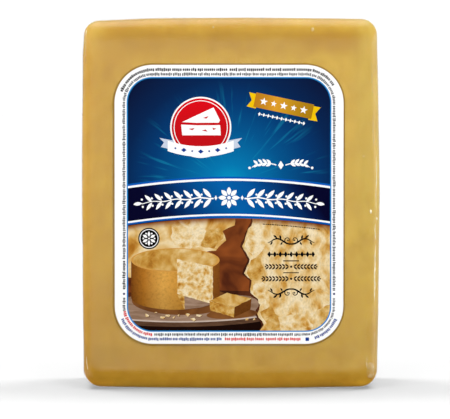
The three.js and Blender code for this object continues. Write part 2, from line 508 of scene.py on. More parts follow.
# ------------------------------------------------------------------ the cheese
def build_cheese():
    p, quads = body_mesh(84, 104, 14, 14, 24)
    n = normals_of(p, quads)
    lump = noise_at(p, 34.0, 1, 2) * 0.16 + noise_at(p, 9.0, 2) * 0.03
    p = p + n * (-0.40 + np.minimum(lump, 0.2))[:, None]
    ob = mesh_object("cheese_body", p, quads, [cheese_material()])
    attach(ob, "root")
    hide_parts("cheese_block")
    return ob


FILM_IN = 0.05


def film_lift(p):
    """How far the film stands off its base form, in mm, at points in the row frame."""
    return np.minimum(noise_at(p, 34.0, 1, 2) * 0.10, 0.04)


def fold(surface, points, way, width, height, seed=0):
    """A fine fold of the film: a closed sliver of a ridge along the surface, found from points by going one way."""
    rng = random.Random(seed)
    p = np.asarray(points, float)
    run = np.concatenate([[0], np.cumsum(np.linalg.norm(np.diff(p, axis=0), axis=1))])
    n = max(6, int(run[-1] / 0.6))
    at = np.linspace(0, run[-1], n + 1)
    q = np.stack([np.interp(at, run, p[:, i]) for i in range(3)], 1)
    sway = rng.uniform(0, 6.28)
    hits = [surface.ray_cast(Vector(v), Vector(way)) for v in q]
    if any(h[0] is None for h in hits):
        return None
    loc = np.array([h[0] for h in hits])
    nor = np.array([h[1] for h in hits])
    along = np.gradient(loc, axis=0)
    along /= np.linalg.norm(along, axis=1)[:, None]
    side = np.cross(nor, along)
    side /= np.linalg.norm(side, axis=1)[:, None]
    u = np.linspace(0, 1, n + 1)
    taper = np.sin(math.pi * u) ** 0.6 * (0.8 + 0.2 * np.sin(u * run[-1] * 0.9 + sway))
    loc = loc + side * (0.12 * width * np.sin(u * run[-1] * 0.55 + sway))[:, None]
    ang = np.linspace(0, math.pi, 7)
    across = [(0.5, -0.04 / height)] + [(0.5 * math.cos(a), math.sin(a)) for a in ang] + [(-0.5, -0.04 / height)]
    rows = []
    for i in range(1, n):
        rows.append([loc[i] + side[i] * (c * width * taper[i]) + nor[i] * (h * height * taper[i]) for c, h in across])
    m = len(across)
    verts = np.concatenate([[loc[0]], np.array(rows).reshape(-1, 3), [loc[-1]]])
    faces = []
    for i in range(n - 2):
        for j in range(m):
            a, b = 1 + i * m + j, 1 + i * m + (j + 1) % m
            faces.append((a, b, b + m, a + m))
    last = len(verts) - 1
    for j in range(m):
        k = (j + 1) % m
        faces.append((0, 1 + k, 1 + j))
        faces.append((1 + (n - 2) * m + j, 1 + (n - 2) * m + k, last))
    return verts, faces


def blister(surface, point, way, wide, tall, height):
    """A small raised bubble of the film: a closed low dome."""
    hit = surface.ray_cast(Vector(point), Vector(way))
    if hit[0] is None:
        return None
    loc, nor = np.array(hit[0]), np.array(hit[1])
    up = np.array([0.0, 0.0, 1.0]) if abs(nor[2]) < 0.9 else np.array([0.0, 1.0, 0.0])
    right = np.cross(up, nor)
    right /= np.linalg.norm(right)
    up = np.cross(nor, right)
    n = 16
    rows = []
    for f, h in ((1.0, -0.05 / height), (1.0, 0.0), (0.86, 0.45), (0.62, 0.80), (0.32, 0.96)):
        for i in range(n):
            a = 2 * math.pi * i / n
            at = loc + right * (f * wide / 2 * math.cos(a)) + up * (f * tall / 2 * math.sin(a))
            under = surface.ray_cast(Vector(at + nor * 3.0), Vector(-nor))
            if under[0] is None:
                return None
            rows.append(np.array(under[0]) + np.array(under[1]) * h * height)
    verts = np.array(rows + [loc + nor * height, loc - nor * 0.05])
    faces = []
    for r in range(4):
        for i in range(n):
            a, b = r * n + i, r * n + (i + 1) % n
            faces.append((a, b, b + n, a + n))
    for i in range(n):
        k = (i + 1) % n
        faces.append((4 * n + i, 4 * n + k, 5 * n))
        faces.append((k, i, 5 * n + 1))
    return verts, faces


FRONT, BACK, RIGHT, LEFT, DOWN = (0, 1, 0), (0, -1, 0), (-1, 0, 0), (1, 0, 0), (0, 0, -1)
# a fold's whitish part is partly a painted highlight, bright or faint
BRIGHT, FAINT = 1, 2  # the film's material on a fold
# Folds and bubbles that the picture shows, by x and z on the front, with their width and height.
FRONT_FOLDS = (
    ([(74.4, 175.5), (74.9, 164.9), (75.1, 155.3)], 0.50, 0.05, FAINT),
    ([(75.4, 146.8), (75.5, 138.3), (75.7, 127.7)], 0.80, 0.06, FAINT),
    ([(77.0, 126.7), (77.3, 122.4), (77.5, 117.1), (77.3, 110.7), (77.1, 103.3), (77.1, 94.8)], 0.55, 0.10, BRIGHT),
    ([(76.7, 88.4), (76.6, 85.3), (76.9, 82.1), (77.1, 79.4)], 0.70, 0.20, BRIGHT),
    ([(77.0, 77.8), (76.9, 74.6), (76.7, 70.4), (76.6, 66.2), (76.5, 53.4), (76.6, 46.5)], 1.05, 0.22, BRIGHT),
    ([(76.5, 45.4), (76.5, 38.5)], 0.60, 0.10, FAINT),
    ([(76.4, 32.2), (76.3, 22.6)], 0.80, 0.08, FAINT),
    ([(72.2, 17.8), (72.4, 14.1), (72.8, 11.4)], 1.30, 0.08, FAINT),
    ([(-77.0, 17.8), (-76.7, 14.1), (-76.1, 10.4)], 0.45, 0.14, BRIGHT),
    ([(-76.5, 191.6), (-76.8, 190.2), (-76.9, 188.2)], 0.70, 0.20, BRIGHT),
    ([(-75.5, 193.5), (-73.9, 194.9), (-71.8, 195.6)], 0.60, 0.12, FAINT),
    ([(-77.0, 187.2), (-77.1, 180.8), (-77.2, 173.4)], 0.60, 0.08, FAINT),
    ([(-76.5, 24.7), (-76.6, 21.0)], 0.50, 0.07, FAINT),
)
FRONT_BLISTERS = (
    (70.5, 124.4, 1.1, 1.2, 0.16, FAINT),
    (74.4, 95.0, 1.2, 2.2, 0.22, BRIGHT),
    (77.6, 91.1, 1.1, 1.6, 0.24, BRIGHT),
    (-9.3, 192.9, 0.8, 0.9, 0.16, BRIGHT),
    (43.4, 191.6, 1.7, 2.3, 0.06, FAINT),
    (-37.3, 192.9, 1.3, 1.0, 0.1, FAINT),
    (74.5, 10.2, 4.4, 9.0, 0.08, FAINT),
)


def hidden_folds():
    """The same kind of folds and bubbles on the walls and the back, where the picture shows nothing."""
    rng = random.Random(7)
    folds, blisters = [], []
    for side in (-1, 1):
        for _ in range(9):  # along the upright edges of the back
            x, z, run = side * rng.uniform(76.6, 78.6), rng.uniform(16, 150), rng.uniform(8, 30)
            path = [(x, 60, z), (x + side * rng.uniform(-0.3, 0.3), 60, z + run)]
            folds.append((path, BACK, rng.uniform(0.4, 0.8), rng.uniform(0.08, 0.22), rng.choice((BRIGHT, FAINT))))
        for _ in range(3):  # on the walls, near their edges
            y, z, run = rng.choice((-1, 1)) * rng.uniform(26, 31), rng.uniform(25, 140), rng.uniform(10, 30)
            path = [(side * 90, y, z), (side * 90, y + rng.uniform(-0.4, 0.4), z + run)]
            folds.append((path, RIGHT if side > 0 else LEFT, rng.uniform(0.4, 0.6), 0.025, FAINT))
        for _ in range(3):  # at the back's lower corners
            x, z = side * rng.uniform(71, 75), rng.uniform(9, 15)
            path = [(x, 60, z), (x + side * rng.uniform(1, 2), 60, z - rng.uniform(3, 5))]
            folds.append((path, BACK, rng.uniform(0.8, 1.6), rng.uniform(0.10, 0.16), FAINT))
    for _ in range(5):
        at = (rng.uniform(-66, 66), 60, rng.uniform(20, 180))
        blisters.append((at, BACK, rng.uniform(0.8, 1.4), rng.uniform(0.8, 1.8), 0.10, FAINT))
    for _ in range(4):
        at = (rng.uniform(-60, 60), rng.uniform(-24, 24), 220)
        blisters.append((at, DOWN, rng.uniform(0.8, 1.4), rng.uniform(0.8, 1.4), 0.012, FAINT))
    return folds, blisters


def build_film():
    p, quads = body_mesh(96, 120, 20, 20, 34)
    n = normals_of(p, quads)
    p = p + n * (film_lift(p) - FILM_IN)[:, None]
    surface = BVHTree.FromPolygons(p.tolist(), quads.tolist())
    faces = quads.tolist()
    made = []
    for i, (path, width, height, look) in enumerate(FRONT_FOLDS):
        made.append((fold(surface, [(x, -60, z) for x, z in path], FRONT, width, height, i), look))
    for x, z, wide, tall, height, look in FRONT_BLISTERS:
        made.append((blister(surface, (x, -60, z), FRONT, wide, tall, height), look))
    folds, blisters = hidden_folds()
    for i, (path, way, width, height, look) in enumerate(folds):
        made.append((fold(surface, path, way, width, height, 50 + i), look))
    for point, way, wide, tall, height, look in blisters:
        made.append((blister(surface, point, way, wide, tall, height), look))
    points, looks = [p], [0] * len(faces)
    total = len(p)
    for piece, look in made:
        if piece:
            verts, f = piece
            points.append(verts)
            faces += [tuple(total + k for k in q) for q in f]
            looks += [look] * len(f)
            total += len(verts)
    ob = mesh_object(
        "clear_film_wrap",
        np.concatenate(points),
        faces,
        [
            film_material(),
            fold_highlight_material("clear_film_fold", 0.50, 0.85),
            fold_highlight_material("clear_film_crease", 0.06, 0.24),
        ],
        looks,
    )
    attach(ob, "root")
    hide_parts("cheese_block")
    ob.visible_shadow = False
    return ob


cheese = build_cheese()
film = build_film()


# ------------------------------------------------------------------ shapes of the label's print, in mm from its middle
ART = []


def paint(material, *loops):
    """Later shapes cover earlier ones; the loops of one shape fill by the even-odd rule."""
    ART.append((material, [np.asarray(loop, float) for loop in loops]))


def turned(p, angle, cx=0.0, cz=0.0):
    c, s = math.cos(math.radians(angle)), math.sin(math.radians(angle))
    p = np.asarray(p, float)
    return np.stack(
        [cx + p[:, 0] * c - p[:, 1] * s, cz + p[:, 0] * s + p[:, 1] * c], 1
    )


def rounded(w, h, r, n=18):
    pts = []
    for cx, cz, a0 in (
        (w / 2 - r, h / 2 - r, 0),
        (-w / 2 + r, h / 2 - r, 90),
        (-w / 2 + r, -h / 2 + r, 180),
        (w / 2 - r, -h / 2 + r, 270),
    ):
        for i in range(n + 1):
            a = math.radians(a0 + 90 * i / n)
            pts.append((cx + r * math.cos(a), cz + r * math.sin(a)))
    return np.array(pts)


def ellipse(cx, cz, rx, rz=None, turn=0.0, n=44):
    a = np.linspace(0, 2 * math.pi, n, endpoint=False)
    p = np.stack([rx * np.cos(a), (rx if rz is None else rz) * np.sin(a)], 1)
    return turned(p, turn, cx, cz)


def petal(cx, cz, length, width, turn, n=9):
    """A pointed leaf that starts at a point and runs off at an angle."""
    t = np.linspace(0, 1, n)
    w = width / 2 * np.sin(math.pi * t) ** 0.85
    p = np.concatenate(
        [np.stack([t * length, w], 1), np.stack([t * length, -w], 1)[-2:0:-1]]
    )
    return turned(p, turn, cx, cz)


def lozenge(cx, cz, rx, rz):
    return [(cx + rx, cz), (cx, cz + rz), (cx - rx, cz), (cx, cz - rz)]


def star(cx, cz, r, turn=0.0):
    p = []
    for i in range(10):
        a = math.radians(90 + 36 * i)
        q = r if i % 2 == 0 else r * 0.42
        p.append((q * math.cos(a), q * math.sin(a)))
    return turned(p, turn, cx, cz)


def bezier(a, b, c, d, n=16):
    t = np.linspace(0, 1, n)[:, None]
    a, b, c, d = (np.array(v, float) for v in (a, b, c, d))
    return (
        (1 - t) ** 3 * a + 3 * (1 - t) ** 2 * t * b + 3 * (1 - t) * t**2 * c + t**3 * d
    )


def stroke(points, width):
    """The outline of a line through the points, of one width or a width at each point."""
    p = np.asarray(points, float)
    w = np.broadcast_to(width, len(p)) / 2
    d = np.gradient(p, axis=0)
    d /= np.linalg.norm(d, axis=1)[:, None]
    side = np.stack([-d[:, 1], d[:, 0]], 1) * w[:, None]
    return np.concatenate([p + side, (p - side)[::-1]])


def rough_edge(points, step, size, seed):
    """A closed outline broken up into a ragged one."""
    rng = random.Random(seed)
    out = []
    p = np.asarray(points, float)
    for a, b in zip(p, np.roll(p, -1, 0)):
        n = max(1, int(np.linalg.norm(b - a) / step))
        d = (b - a) / max(1e-6, np.linalg.norm(b - a))
        for i in range(n):
            off = 0.0 if i == 0 else rng.uniform(-size, size)
            q = a + (b - a) * (i / n) + np.array([-d[1], d[0]]) * off
            out.append(q)
    return np.array(out)


# The white border's path, clockwise from the middle of the top, at some distance in from the label's edge.
def border_path(inset):
    p = rounded(LABEL_W - 2 * inset, LABEL_H - 2 * inset, LABEL_R - inset, 24)[::-1]
    start = np.array([[0.0, LABEL_H / 2 - inset]])
    first = next(i for i in range(len(p)) if p[i - 1, 0] < 0 < p[i, 0] and p[i, 1] > 0)
    p = np.concatenate([start, np.roll(p, -first, 0), start])
    s = np.concatenate([[0], np.cumsum(np.linalg.norm(np.diff(p, axis=0), axis=1))])
    return p, s


def small_print(material, path, s0, s1, size, seed, bold=0.0):
    """A row of little bars that stands for small print, between two lengths along a path."""
    rng = random.Random(seed)
    p, s = path
    loops = []
    at = s0
    while at < s1:
        for _ in range(rng.randint(3, 9)):
            w = size * (rng.uniform(0.27, 0.37) + bold)
            hi = rng.choice((0.38, 0.40, 0.42, 0.60))
            lo = -rng.choice((0.38, 0.40, 0.42, 0.54))
            ends = [at, at + w]
            x, z = np.interp(ends, s, p[:, 0]), np.interp(ends, s, p[:, 1])
            d = np.array([x[1] - x[0], z[1] - z[0]])
            d /= np.linalg.norm(d)
            n = np.array([-d[1], d[0]])
            a, b = np.array([x[0], z[0]]), np.array([x[1], z[1]])
            loops.append([a + n * lo * size, b + n * lo * size, b + n * hi * size, a + n * hi * size])
            at += w + size * rng.uniform(0.13, 0.19)
            if at > s1:
                break
        at += size * 0.26
    paint(material, *loops)


def chain(material, cx, cz, wide, pitch, rx, rz, dot, turn=0.0):
    """A straight row of lozenges with dots between them."""
    n = round(wide / pitch)
    for i in range(-n, n + 1):
        q = turned([(i * pitch / 2, 0.0)], turn, cx, cz)[0]
        if (i + n) % 2 == 0:
            paint(material, turned(lozenge(0, 0, rx, rz), turn, *q))
        else:
            paint(material, ellipse(q[0], q[1], dot, n=10))


def leaf_row(material, cx, cz, wide, pitch, size):
    """A straight row of small leaves that run out from a dot in the middle."""
    paint(material, ellipse(cx, cz, size * 0.42, n=14))
    for side in (-1, 1):
        for i in range(int(wide / 2 / pitch)):
            x = cx + side * (size * 0.9 + pitch * i)
            for up in (-1, 1):
                a = 38 * up if side > 0 else 180 - 38 * up
                paint(material, petal(x, cz, size * 1.55, size * 0.62, a, 7))
        x = cx + side * (size * 0.9 + pitch * int(wide / 2 / pitch))
        paint(material, ellipse(x, cz, size * 0.3, n=10))


def band_top(x):
    return 9.6 + 4.2 * (1 - (np.asarray(x) / 54.7) ** 2)


def band_foot(x):
    return band_top(x) - 20.6


def band_strip(material, hi, lo, top=True):
    """A strip along the band between two distances, up from its top edge or from its foot."""
    x = np.linspace(-56, 56, 57)
    base = band_top(x) if top else band_foot(x)
    paint(
        material,
        np.concatenate([np.stack([x, base + hi], 1), np.stack([x, base + lo], 1)[::-1]]),
    )


def draw_label():
    paint("paper", rounded(LABEL_W, LABEL_H, LABEL_R))
    # Rows of small print round the border.
    outer, inner = border_path(2.55), border_path(5.0)
    whole_in = inner[1][-1]
    small_print("text_black", outer, outer[1][-1] - 62, outer[1][-1] - 50, 1.6, 1, 0.24)
    small_print("text_dark", outer, outer[1][-1] - 48.8, outer[1][-1] - 0.5, 1.6, 2, 0.16)
    small_print("text_dark", outer, 0.3, 58, 1.6, 3, 0.16)
    # The lengths along the inner row to the dots low on its two sides.
    s_fine = np.linspace(0, whole_in, 2000)
    x_fine = np.interp(s_fine, inner[1], inner[0][:, 0])
    z_fine = np.interp(s_fine, inner[1], inner[0][:, 1])
    s_dot_r = float(s_fine[np.argmin(np.hypot(x_fine - 56.1, z_fine + 47.5))])
    s_dot_l = float(s_fine[np.argmin(np.hypot(x_fine + 56.1, z_fine + 47.5))])
    small_print("text_grey", inner, 0.3, s_dot_r - 2.0, 1.5, 4, 0.10)
    small_print("text_dark", inner, s_dot_r + 2.4, s_dot_r + 36, 1.35, 5, 0.0)
    bottom0, bottom1 = s_dot_r + 37, s_dot_l - 30
    small_print("text_grey", inner, bottom0, bottom1 - 1.5, 1.5, 6, 0.10)
    small_print("print_red", inner, bottom1, s_dot_l - 10, 1.6, 7, 0.14)
    small_print("text_black", inner, s_dot_l - 9, s_dot_l - 2, 1.45, 8, 0.10)
    small_print("text_black", inner, s_dot_l + 2.4, s_dot_l + 17, 1.5, 9, 0.14)
    small_print("text_grey", inner, s_dot_l + 18.5, whole_in - 0.5, 1.5, 10, 0.12)
    paint("print_navy", ellipse(55.8, -47.5, 0.6, n=14), ellipse(-55.8, -47.5, 0.6, n=14))
    half = outer[1][-1] / 2
    small_print("print_blue_ink", outer, half - 61, half - 45, 1.55, 11, 0.12)
    paint("print_blue_ink", rounded(1.9, 1.9, 0.3, 3) + np.array([41.6, -LABEL_H / 2 + 2.5]))
    small_print("print_red", outer, half - 38, half - 20, 1.55, 12, 0.14)
    small_print("print_red", outer, half - 18.5, half + 2, 1.55, 13, 0.14)
    small_print("print_blue_ink", outer, half + 4, half + 61, 1.55, 14, 0.12)

    # The coloured field in its keyline.
    paint("keyline", rounded(108.6, 135.4, 13.5))
    global FIELD
    FIELD = rounded(107.3, 134.1, 12.9)
    paint("field_blue", FIELD)
    draw_picture()
    draw_band()
    draw_medallion(-15.0, 41.0, 16.2)
    draw_gold_ribbon(29.0, 52.5, -12.0)
    draw_sprig(27.5, 21.0)


def draw_band():
    band_strip("band", 1.1, -21.0)
    band_strip("band_line", 1.1, 0.0)
    band_strip("white_print", 0.0, -1.1)
    band_strip("white_print", 1.9, 0.95, top=False)
    band_strip("band_line", 0.95, 0.0, top=False)
    # A garland of leaves and berries either side of a rosette.
    def on_band(x, dz):
        slope = -2 * 4.2 * x / 54.7**2
        q = math.hypot(1, slope)
        return x - dz * slope / q, float(band_top(x)) - 10.1 + dz / q, math.degrees(math.atan(slope))

    def leaf(x, dz, length, width, angle):
        px, pz, lean = on_band(x, dz)
        paint("white_print", petal(px, pz, length, width, angle + lean, 12))

    for k in range(8):
        leaf(1.3 * math.cos(math.pi * k / 4), 1.3 * math.sin(math.pi * k / 4), 4.4, 2.3, 45 * k)
    paint("band", ellipse(*on_band(0, 0)[:2], 1.5, n=24))
    paint("white_print", ellipse(*on_band(0, 0)[:2], 0.95, n=20))
    for side in (-1, 1):
        along = [on_band(side * x, 0.35 * math.sin(x * 0.5))[:2] for x in np.linspace(8.2, 46.5, 40)]
        paint("white_print", stroke(along, np.linspace(0.75, 0.4, 40)))
        for i in range(7):
            x = side * (9.4 + 5.25 * i)
            grow = 1.0 - 0.035 * i
            for up in (-1, 1):
                a = 49 if side > 0 else 131
                leaf(x, 0.15 * up, 6.6 * grow, 2.15 * grow, up * a)
                q = on_band(x + side * 5.1, 1.95 * up)
                paint("white_print", ellipse(q[0], q[1], 0.58, n=14))
        leaf(side * 46.2, 0.0, 4.6, 1.9, 0 if side > 0 else 180)
        q = on_band(side * 7.0, 0)
        paint("white_print", lozenge(q[0], q[1], 0.8, 1.3))
    # A dotted rule that follows the band's foot.
    for i, x in enumerate(np.linspace(18.5, 47.5, 25)):
        z = float(band_foot(x)) - 3.1
        slope = math.degrees(math.atan(-2 * 4.2 * x / 54.7**2))
        if i % 2 == 0:
            paint("text_brown", turned(rounded(1.35, 0.5, 0.2, 2), slope, x, z))
        else:
            paint("text_brown", ellipse(x, z, 0.34, n=10))


def draw_medallion(cx, cz, r):
    paint("white_print", ellipse(cx, cz, r, n=96))
    paint("medal_red", ellipse(cx, cz, r - 0.8, n=96))
    paint("white_print", ellipse(cx, cz, r - 1.9, n=96), ellipse(cx, cz, r - 2.3, n=96))
    # A plain wedge of cheese.
    top = [(-10.0, -0.6), (6.8, 7.2), (10.2, 0.4), (9.6, -0.9), (-2.0, -1.0)]
    face = [(-10.4, -1.9), (-2.0, -2.3), (10.3, -2.2), (10.6, -7.6), (-9.8, -7.6)]
    for q in (top, face):
        paint("white_print", np.array(q) + (cx, cz + 3.4))
    for q in (
        [(-6.5, -4.2), (-3.2, -3.8), (-4.4, -4.9)],
        [(0.5, -5.2), (3.6, -5.6), (2.6, -4.5)],
        [(6.2, -3.6), (8.4, -4.1), (6.6, -4.8)],
        [(1.2, 1.6), (4.2, 2.6), (3.0, 1.2)],
    ):
        paint("medal_red", np.array(q) + (cx, cz + 3.4))
    # A bare ribbon across the foot, with folded tails.
    x = np.linspace(-1, 1, 19)
    w, drop, h = 17.5, 3.0, 5.6
    mid = np.stack([cx + x * w, cz - r + 3.6 - drop * (1 - x**2)], 1)
    for side in (-1, 1):
        e = mid[-1 if side > 0 else 0]
        tail = [
            (e[0] - side * 3.2, e[1] + 0.4),
            (e[0] + side * 3.6, e[1] + 2.2),
            (e[0] + side * 2.0, e[1] + 4.6),
            (e[0] + side * 4.4, e[1] + 7.0),
            (e[0] - side * 3.2, e[1] + 5.6),
        ]
        paint("ribbon_grey", tail)
        paint("ribbon_fold", [(e[0] - side * 3.2, e[1] - 1.0), (e[0], e[1]), (e[0] - side * 3.2, e[1] + 2.4)])
    band = np.concatenate([mid + (0, h), mid[::-1]])
    paint("white_print", band)
    for k in range(-3, 4):
        t = k / 3.9
        q = (cx + t * w, cz - r + 3.6 - drop * (1 - t * t) + h / 2)
        if k % 2 == 0:
            paint("print_blue_ink", lozenge(*q, 1.5, 1.15))
        else:
            paint("print_blue_ink", ellipse(*q, 0.5, n=12))


def draw_gold_ribbon(cx, cz, tilt):
    for side in (-1, 1):
        tail = [
            (side * 14.2, -4.6),
            (side * 19.2, -4.4),
            (side * 17.2, -0.7),
            (side * 19.4, 3.2),
            (side * 14.2, 3.0),
        ]
        paint("ribbon_yellow", turned(tail, tilt, cx, cz))
    paint("ribbon_gold", turned(rounded(31.4, 7.8, 0.3, 2), tilt, cx, cz))
    for k in range(5):
        q = turned([((k - 2) * 5.4, -0.1)], tilt, cx, cz)[0]
        paint("white_print", star(*q, 2.15 if k % 2 == 0 else 1.7, tilt))
    foot = turned([(0.3, -7.0)], tilt, cx, cz)[0]
    chain("white_print", foot[0], foot[1], 24.0, 2.4, 0.72, 1.05, 0.36, tilt)


def draw_sprig(cx, cz):
    """Two sprays of leaves that meet at a lozenge, in white."""
    paint("white_print", lozenge(cx, cz, 1.5, 2.3))
    for side in (-1, 1):
        stem = bezier((side * 2.4, 0), (side * 6, 1.3), (side * 10.5, 1.6), (side * 15.5, -1.2), 18)
        paint("white_print", stroke(stem, np.linspace(0.62, 0.3, 18)) + (cx, cz))
        for t in (4, 7, 10, 13):
            q = stem[t] + (cx, cz)
            a = 42 if side > 0 else 138
            paint("white_print", petal(*q, 3.4, 1.35, a, 7))
            paint("white_print", petal(*q, 3.2, 1.3, -a + (18 if side > 0 else -18), 7))
        paint("white_print", ellipse(cx + side * 16.6, cz - 1.5, 0.7, n=12))


def draw_scroll(cx, cz, flip):
    """A traditional printer's flourish in black."""
    for side in (-1, 1):
        f = np.array([side, flip])
        at = np.array([cx, cz])
        arm = np.concatenate([
            bezier((0.0, -1.5), (3.2, -1.9), (4.8, 1.4), (7.6, 1.3), 14),
            bezier((7.6, 1.3), (9.6, 1.2), (10.9, -0.6), (12.4, -0.9), 10)[1:],
        ])
        paint("text_black", stroke(arm, np.interp(np.arange(23), [0, 8, 15, 22], [0.75, 0.95, 0.7, 0.28])) * f + at)
        a = np.linspace(-math.pi / 2, math.pi * 1.15, 22)
        rad = np.linspace(1.75, 0.85, 22)
        curl = np.stack([1.9 + rad * np.cos(a) * 1.0, 0.55 + rad * np.sin(a)], 1)
        paint("text_black", stroke(curl, np.linspace(0.6, 0.35, 22)) * f + at)
        paint("text_black", ellipse(1.75, 0.5, 0.42, n=12) * f + at)
        for px, pz, ln, wd, ang in (
            (5.4, 0.9, 2.5, 1.05, 74),
            (7.4, 1.6, 2.6, 1.05, 38),
            (9.9, 0.0, 2.4, 0.95, -62),
            (4.6, -0.4, 2.0, 0.85, -58),
        ):
            paint("text_black", petal(px, pz, ln, wd, ang, 7) * f + at)


def draw_picture():
    """Still life in the lower field: a cut wheel and broken cheese on a board."""
    far = [(-56, 4), (56, 4), (56, -70), (-56, -70)]
    paint("shade_back", far)
    chunk = [
        (-56, 4), (3, 4), (3, -11), (-3.5, -14), (-1.5, -19), (-7.0, -24.5), (-14, -25.5),
        (-22, -30), (-34, -31), (-47, -40), (-56, -38),
    ]
    paint("cheese_far", rough_edge(chunk, 2.4, 0.5, 40))
    paint("facet_light", rough_edge([(-30, -9), (-18, -7), (-12, -14), (-15, -22), (-26, -25), (-31, -17)], 2.0, 0.7, 45))
    paint("facet_gold", rough_edge([(-15, -22), (-12, -14), (-4, -12), (-3, -18), (-8, -23.5)], 2.0, 0.5, 46))
    # the board and the dark under it
    paint("shade_deep", [(-56, -47), (-30, -45), (10, -46), (24, -50), (24, -70), (-56, -70)])
    board = np.concatenate([
        bezier((-56, -49.5), (-36, -46.6), (0, -46.4), (22, -50.0), 24),
        bezier((22, -58.0), (2, -62.3), (-34, -63.0), (-56, -60.5), 24),
    ])
    paint("board_top", board)
    rim = bezier((-56, -60.5), (-34, -63.0), (2, -62.3), (22, -58.0), 24)
    paint("board_rim", np.concatenate([rim, rim[::-1] - (0, 0.75)]))
    paint("board_edge", np.concatenate([rim - (0, 0.75), rim[::-1] - (0, 3.1)]))
    paint("dark_base", np.concatenate([rim - (0, 3.1), [(22, -70), (-56, -70)]]))

    # the wheel, with a wedge cut out of its front
    cx, zt, rx, rz, high = -28.5, -29.5, 23.5, 6.4, 20.0
    zb = zt - high
    paint("shade_soft", ellipse(cx + 3.5, zb - 1.6, rx + 3.2, rz + 1.2))
    a = np.radians(np.linspace(180, 360, 40))
    side = np.concatenate([
        np.stack([cx + rx * np.cos(a), zb + rz * np.sin(a)], 1),
        [(cx + rx, zt)],
        np.stack([cx + rx * np.cos(a), zt + rz * np.sin(a)], 1)[::-1],
    ])
    paint("rind", side)
    paint("wheel_top", ellipse(cx, zt, rx, rz, n=60))
    paint("rind_rim", ellipse(cx, zt, rx, rz, n=60), ellipse(cx, zt + 0.15, rx - 1.1, rz - 0.55, n=60))
    t0, t1 = math.radians(282), math.radians(328)
    r0 = np.array([cx + rx * math.cos(t0), rz * math.sin(t0)])
    r1 = np.array([cx + rx * math.cos(t1), rz * math.sin(t1)])
    c = np.array([cx + 1.0, 0.6])
    arc = np.linspace(t0, t1, 14)
    hole = np.concatenate([
        [(c[0], zt + c[1])],
        np.stack([cx + rx * np.cos(arc), zt + rz * np.sin(arc)], 1),
        np.stack([cx + rx * np.cos(arc), zb + rz * np.sin(arc)], 1)[::-1],
        [(c[0], zt + c[1])],
    ])
    paint("shade_deep", hole)
    left_face = [(c[0], zt + c[1]), (r0[0], zt + r0[1]), (r0[0], zb + r0[1]), (c[0], zb + c[1] + 1.5)]
    right_face = [(c[0], zt + c[1]), (r1[0], zt + r1[1]), (r1[0], zb + r1[1]), (c[0], zb + c[1] + 1.5)]
    between = (t0 + t1) / 2
    near = (cx + rx * math.cos(between), zb + rz * math.sin(between))
    floor_tri = [(c[0], zb + c[1] + 1.5), (r1[0], zb + r1[1]), near, (r0[0], zb + r0[1])]
    paint("board_top", floor_tri)
    paint("crumb_shade", rough_edge(left_face, 1.3, 0.18, 41))
    paint("crumb", rough_edge(right_face, 1.3, 0.18, 42))

    # the broken block at the right
    block = [
        (12, 4), (56, 4), (56, -70), (14.5, -70), (18.5, -64), (15.0, -58), (17.0, -51.5),
        (11.5, -47), (12.0, -40), (8.0, -36.5), (11.0, -29), (7.0, -22), (9.5, -15), (12.5, -9),
    ]
    paint("shade_deep", np.array(rough_edge(block, 2.2, 0.5, 50)) - (1.1, 0.4))
    paint("cheese_near", rough_edge(block, 2.0, 0.42, 51))
    facets = [
        ([(12.8, -9), (17, -10), (19, -22), (14.0, -29), (8.4, -22), (10.4, -15)], "facet_light"),
        ([(11.6, -29.5), (16.5, -27), (19, -38), (13.5, -42), (9.4, -36.5)], "facet_gold"),
        ([(12.8, -43), (18, -41), (22, -51), (18.2, -55), (13.0, -47.5)], "facet_light"),
        ([(16.5, -57), (22, -54), (29, -63), (25, -70), (19, -70), (20, -63)], "facet_gold"),
        ([(26, -60), (38, -58), (45, -64), (41, -70), (28, -70)], "facet_light"),
        ([(47, -56), (56, -52), (56, -66), (50, -68)], "facet_gold"),
    ]
    for k, (q, m) in enumerate(facets):
        paint(m, rough_edge(q, 1.6, 0.5, 60 + k))

    # the wedge that was cut out, and crumbs
    paint("shade_soft", ellipse(1.5, -58.2, 13.5, 2.6, 3))
    paint("crumb_shade", rough_edge([(-10.5, -51.2), (3.0, -54.4), (2.6, -60.0), (-9.8, -56.2)], 1.1, 0.2, 71))
    paint("rind", rough_edge([(3.0, -54.4), (12.0, -49.9), (11.4, -55.8), (2.6, -60.0)], 1.5, 0.1, 72))
    paint("wheel_top", rough_edge([(-10.5, -51.2), (-1.0, -46.8), (12.0, -49.9), (3.0, -54.4)], 1.3, 0.2, 73))
    rng = random.Random(80)
    for k in range(13):
        x, z, r = rng.uniform(-50, 14), rng.uniform(-61.0, -57.5), rng.uniform(0.5, 1.3)
        if -10 < x < 13:
            z = rng.uniform(-61.6, -60.6)
        a = np.sort([rng.uniform(0, 2 * math.pi) for _ in range(7)])
        q = np.stack([x + r * np.cos(a) * 1.2, z + r * np.sin(a) * 0.75], 1)
        paint("shade_soft", q + (0.35, -0.25))
        paint("crumb", q)

    # a small black mark with a rosette, and the printed column at the right
    paint("text_black", ellipse(-42.5, -18.0, 5.7, n=48))
    paint("white_print", ellipse(-42.5, -18.0, 5.0, n=48), ellipse(-42.5, -18.0, 4.6, n=48))
    for k in range(6):
        a = 60 * k + 30
        c, d = math.cos(math.radians(a)), math.sin(math.radians(a))
        paint("white_print", petal(-42.5 + 0.9 * c, -18.0 + 0.9 * d, 2.9, 1.4, a, 8))
        c, d = math.cos(math.radians(a + 30)), math.sin(math.radians(a + 30))
        paint("white_print", ellipse(-42.5 + 3.0 * c, -18.0 + 3.0 * d, 0.45, n=12))
    paint("white_print", ellipse(-42.5, -18.0, 0.5, n=12))

